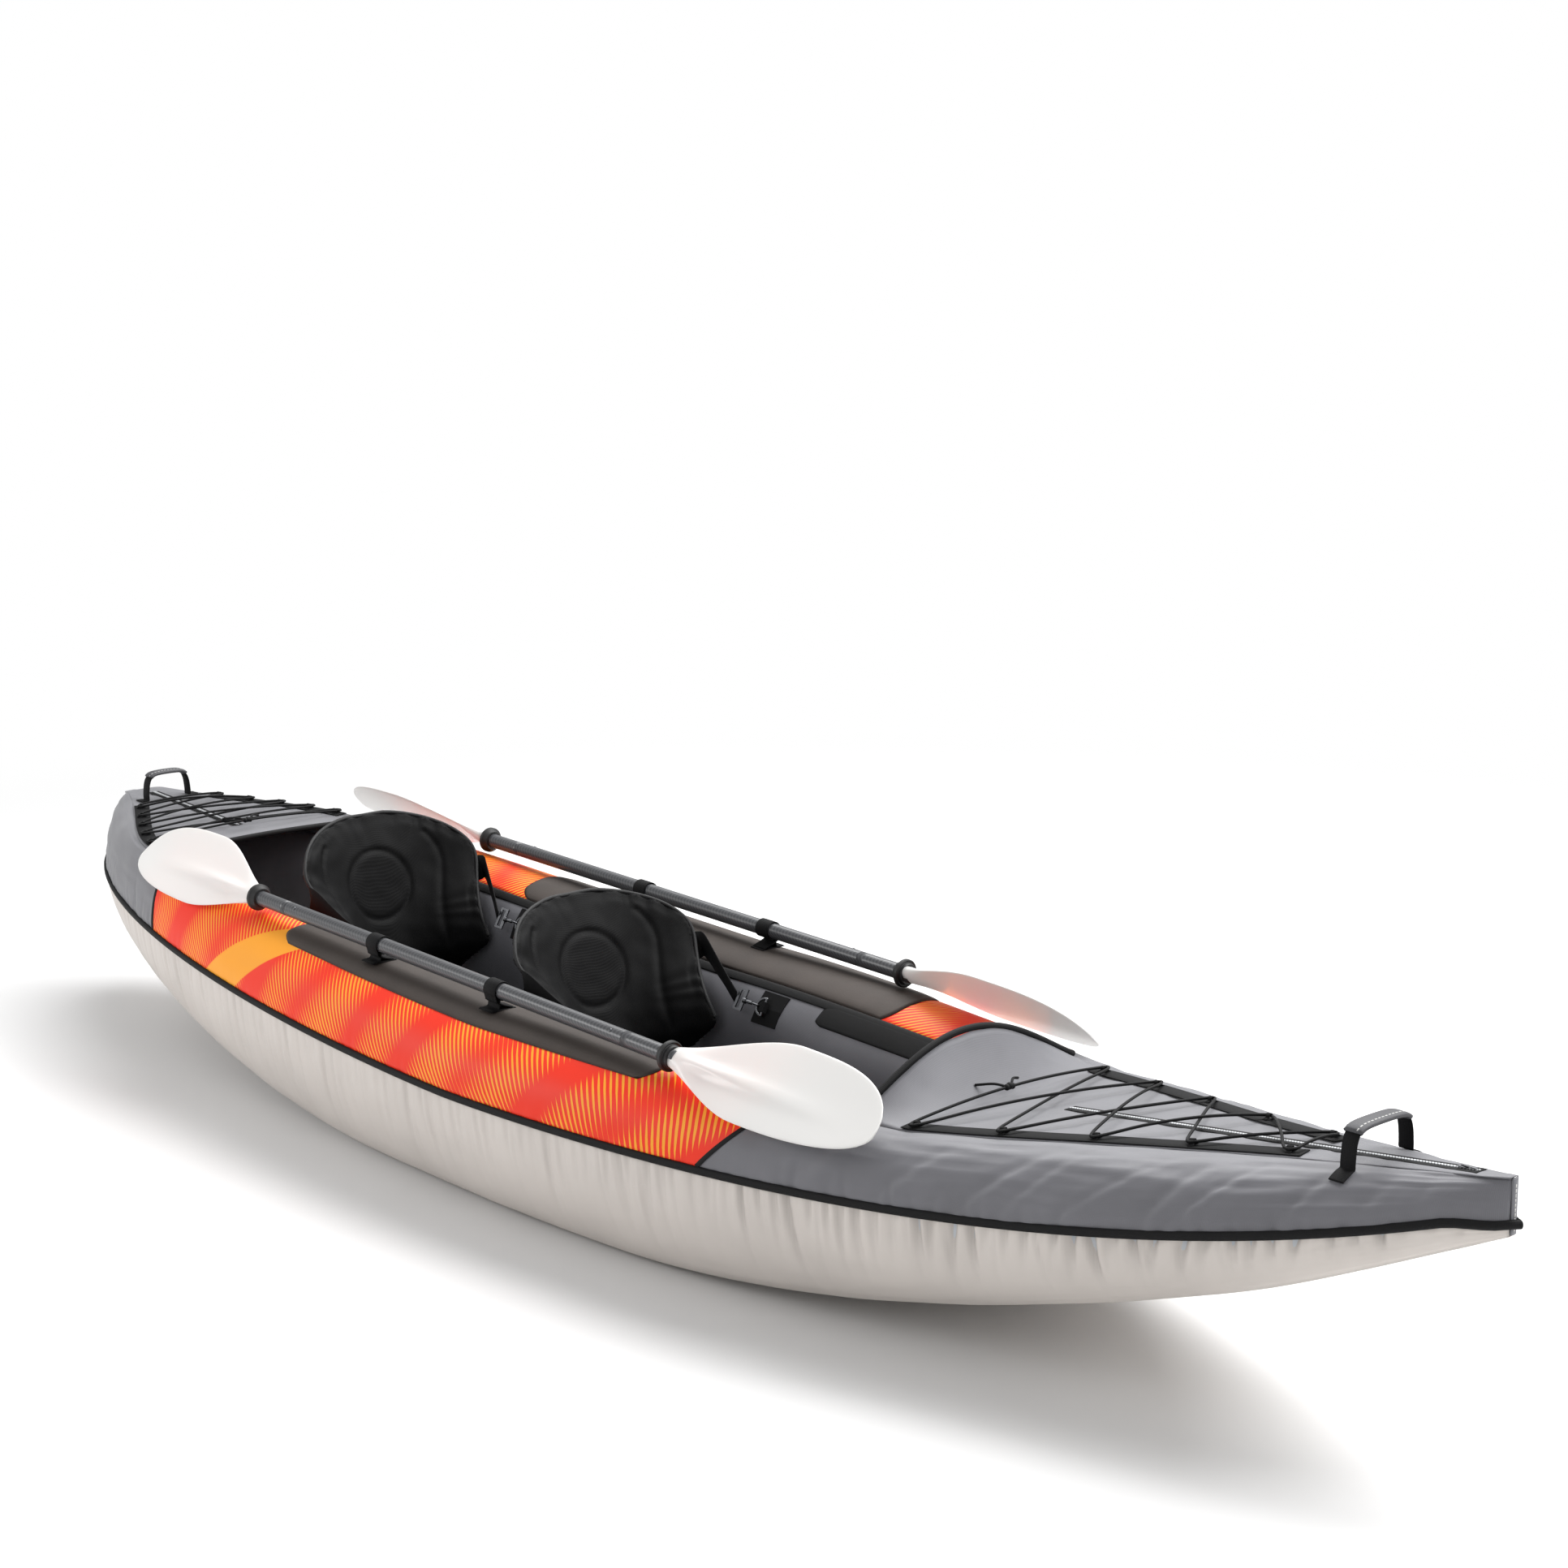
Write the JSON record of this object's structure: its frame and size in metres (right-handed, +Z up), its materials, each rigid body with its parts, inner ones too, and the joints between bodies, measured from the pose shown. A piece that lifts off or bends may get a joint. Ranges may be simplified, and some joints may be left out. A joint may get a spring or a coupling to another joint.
{
  "type": "inflatable tandem kayak",
  "caption": "Two-seat inflatable touring kayak with fabric decks, padded back-rests, deck bungees, zips, carry handles and two take-apart paddles strapped along its side tubes.",
  "frame": {"origin": "on the ground under the middle of the hull's box", "axes": "+X to the bow, +Y to port, +Z up"},
  "size_m": [3.9228, 0.9108, 0.5482],
  "materials": {
    "light_grey_pvc": "coated fabric",
    "striped_cover": "printed stripes",
    "slate_fabric": "woven nylon",
    "bladder_film": "welded film",
    "floor_pvc": "coated fabric",
    "black_rubber": "matte",
    "black_webbing": "webbing",
    "bungee_cord": "braid",
    "zip": "coil zip",
    "grip_foam": "matte",
    "pad_foam": "foam",
    "seat_fabric": "padded nylon",
    "seat_piping": "piping",
    "metal": "satin",
    "valve_plastic": "moulded",
    "plunger_plastic": "moulded",
    "fin_box_plastic": "moulded",
    "shaft": "lacquered",
    "blade": "moulded"
  },
  "bodies": {
    "hull": {"bottom_panel": "light_grey_pvc", "port_lower_side": "light_grey_pvc", "starboard_lower_side": "light_grey_pvc", "port_side_panel": "striped_cover", "starboard_side_panel": "striped_cover", "bow_cover": "slate_fabric", "stern_cover": "slate_fabric", "bow_deck": "slate_fabric", "stern_deck": "slate_fabric", "port_inner_wall": "slate_fabric", "starboard_inner_wall": "slate_fabric", "port_bladder": "bladder_film", "starboard_bladder": "bladder_film", "inflatable_floor": "floor_pvc", "seam_piping": "black_rubber", "nose_bindings": "black_rubber", "deck_coamings": "black_webbing", "deck_webbing": "black_webbing", "cord_loops": "black_webbing", "handle_straps": "black_webbing", "paddle_straps": "black_webbing", "front_seat_straps": "black_webbing", "rear_seat_straps": "black_webbing", "ring_patches": "black_webbing", "inner_flaps": "black_webbing", "bow_bungee": "bungee_cord", "stern_bungee": "bungee_cord", "deck_zips": "zip", "handle_grips": "grip_foam", "side_pads": "pad_foam", "front_seat_cushion": "seat_fabric", "rear_seat_cushion": "seat_fabric", "strap_hooks": "metal", "d_rings": "metal", "valve_bodies": "valve_plastic", "fin_box": "fin_box_plastic"},
    "front_back": {"front_backrest": "seat_fabric", "front_back_piping": "seat_piping"},
    "rear_back": {"rear_backrest": "seat_fabric", "rear_back_piping": "seat_piping"},
    "port_paddle": {"port_shaft": "shaft", "port_bow_blade": "blade", "port_stern_blade": "blade", "port_drip_rings": "black_rubber"},
    "starboard_paddle": {"starboard_shaft": "shaft", "starboard_bow_blade": "blade", "starboard_stern_blade": "blade", "starboard_drip_rings": "black_rubber"},
    "port_bow_snap": {"port_bow_button": "metal"},
    "port_stern_snap": {"port_stern_button": "metal"},
    "starboard_bow_snap": {"starboard_bow_button": "metal"},
    "starboard_stern_snap": {"starboard_stern_button": "metal"},
    "bow_slider": {"bow_zip_slider": "metal"},
    "stern_slider": {"stern_zip_slider": "metal"},
    "port_cap": {"port_valve_cap": "valve_plastic"},
    "starboard_cap": {"starboard_valve_cap": "valve_plastic"},
    "floor_cap": {"floor_valve_cap": "valve_plastic"},
    "port_plunger": {"port_valve_plunger": "plunger_plastic"},
    "starboard_plunger": {"starboard_valve_plunger": "plunger_plastic"},
    "floor_plunger": {"floor_valve_plunger": "plunger_plastic"}
  },
  "joints": [
    {"name": "front_back_fold", "type": "hinge", "parent": "hull", "child": "front_back", "pos_m": [-0.09, 0, 0.13024], "axis": [0, 1, 0], "range_deg": [0, 20], "deforming": ["front_seat_straps"]},
    {"name": "rear_back_fold", "type": "hinge", "parent": "hull", "child": "rear_back", "pos_m": [-0.84732, 0, 0.16784], "axis": [0, 1, 0], "range_deg": [0, 20], "deforming": ["rear_seat_straps"]},
    {"name": "port_paddle_slide", "type": "slide", "parent": "hull", "child": "port_paddle", "axis": [0.9994, 0, -0.036], "range_m": [-0.2, 0.3]},
    {"name": "starboard_paddle_slide", "type": "slide", "parent": "hull", "child": "starboard_paddle", "axis": [0.9994, 0, -0.036], "range_m": [-0.3, 0.25]},
    {"name": "port_bow_snap_press", "type": "slide", "parent": "port_paddle", "child": "port_bow_snap", "axis": [-0.0254, -0.7071, -0.7066], "range_m": [0, 0.0024], "stiffness_N_per_m": 3000},
    {"name": "port_stern_snap_press", "type": "slide", "parent": "port_paddle", "child": "port_stern_snap", "axis": [-0.0254, -0.7071, -0.7066], "range_m": [0, 0.0024], "stiffness_N_per_m": 3000},
    {"name": "starboard_bow_snap_press", "type": "slide", "parent": "starboard_paddle", "child": "starboard_bow_snap", "axis": [-0.0254, 0.7071, -0.7066], "range_m": [0, 0.0024], "stiffness_N_per_m": 3000},
    {"name": "starboard_stern_snap_press", "type": "slide", "parent": "starboard_paddle", "child": "starboard_stern_snap", "axis": [-0.0254, 0.7071, -0.7066], "range_m": [0, 0.0024], "stiffness_N_per_m": 3000},
    {"name": "bow_zip_run", "type": "slide", "parent": "hull", "child": "bow_slider", "axis": [-0.9935, 0, -0.1142], "range_m": [0, 0.72]},
    {"name": "stern_zip_run", "type": "slide", "parent": "hull", "child": "stern_slider", "axis": [-0.9985, 0, 0.0553], "range_m": [0, 0.33]},
    {"name": "port_cap_turn", "type": "hinge", "parent": "hull", "child": "port_cap", "pos_m": [-1.04, 0.16027, 0.29866], "axis": [0.049, -0.9865, 0.1564], "range_deg": [0, 90]},
    {"name": "starboard_cap_turn", "type": "hinge", "parent": "hull", "child": "starboard_cap", "pos_m": [-1.04, -0.16027, 0.29866], "axis": [0.049, 0.9865, 0.1564], "range_deg": [0, 90]},
    {"name": "floor_cap_turn", "type": "hinge", "parent": "hull", "child": "floor_cap", "pos_m": [-1.132, 0, 0.18328], "axis": [0.1815, 0, 0.9834], "range_deg": [0, 90]},
    {"name": "port_plunger_press", "type": "slide", "parent": "hull", "child": "port_plunger", "axis": [-0.049, 0.9865, -0.1564], "range_m": [0, 0.002], "stiffness_N_per_m": 1500},
    {"name": "starboard_plunger_press", "type": "slide", "parent": "hull", "child": "starboard_plunger", "axis": [-0.049, -0.9865, -0.1564], "range_m": [0, 0.002], "stiffness_N_per_m": 1500},
    {"name": "floor_plunger_press", "type": "slide", "parent": "hull", "child": "floor_plunger", "axis": [-0.1815, 0, -0.9834], "range_m": [0, 0.002], "stiffness_N_per_m": 1500}
  ]
}
